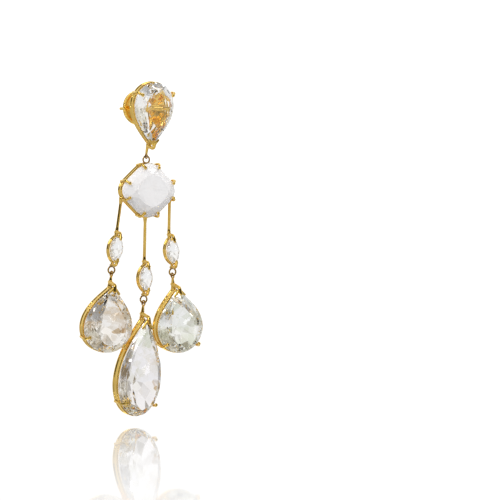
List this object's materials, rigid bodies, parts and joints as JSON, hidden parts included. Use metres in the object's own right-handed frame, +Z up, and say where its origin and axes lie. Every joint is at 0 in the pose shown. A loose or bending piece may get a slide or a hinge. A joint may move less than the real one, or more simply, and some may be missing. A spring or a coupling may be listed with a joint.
{
  "type": "chandelier earring",
  "caption": "Chandelier drop earring in polished gold: a pear-cut stud, a cushion-cut centre, and three bars with marquise stones and hanging pear drops of clear and milky quartz.",
  "frame": {"origin": "on the axis of the ear post, at the lobe's place behind the stud", "axes": "+Z up, +Y back through the lobe along the post, +X to the right when the front is looked at; the drops hang down along -Z"},
  "size_m": [0.0332, 0.0208, 0.0825],
  "materials": {
    "gold": "polished yellow gold",
    "clear_quartz": "clear, cut and polished",
    "milky_quartz": "milky, cut and polished"
  },
  "bodies": {
    "stud": {"stud_setting": "gold", "stud_stone": "clear_quartz"},
    "nut": {"ear_nut": "gold"},
    "drop": {"drop_frame": "gold", "cushion_stone": "milky_quartz", "marquise_stone_left": "clear_quartz", "marquise_stone_middle": "clear_quartz", "marquise_stone_right": "clear_quartz"},
    "pear_left": {"pear_setting_left": "gold", "pear_stone_left": "clear_quartz"},
    "pear_middle": {"pear_setting_middle": "gold", "pear_stone_middle": "clear_quartz"},
    "pear_right": {"pear_setting_right": "gold", "pear_stone_right": "clear_quartz"}
  },
  "joints": [
    {"name": "nut_slide", "type": "slide", "parent": "stud", "child": "nut", "axis": [0, 1, 0], "range_m": [-0.0028, 0.0095]},
    {"name": "drop_swing", "type": "hinge", "parent": "stud", "child": "drop", "pos_m": [0, -0.0027, -0.01253], "axis": [0, 1, 0], "range_deg": [-30, 30]},
    {"name": "pear_left_swing", "type": "hinge", "parent": "drop", "child": "pear_left", "pos_m": [-0.00908, -0.00152, -0.04079], "axis": [1, 0, 0], "range_deg": [-25, 25]},
    {"name": "pear_middle_swing", "type": "hinge", "parent": "drop", "child": "pear_middle", "pos_m": [0, -0.00121, -0.04814], "axis": [1, 0, 0], "range_deg": [-25, 25]},
    {"name": "pear_right_swing", "type": "hinge", "parent": "drop", "child": "pear_right", "pos_m": [0.00798, -0.00149, -0.04147], "axis": [1, 0, 0], "range_deg": [-25, 25]}
  ]
}
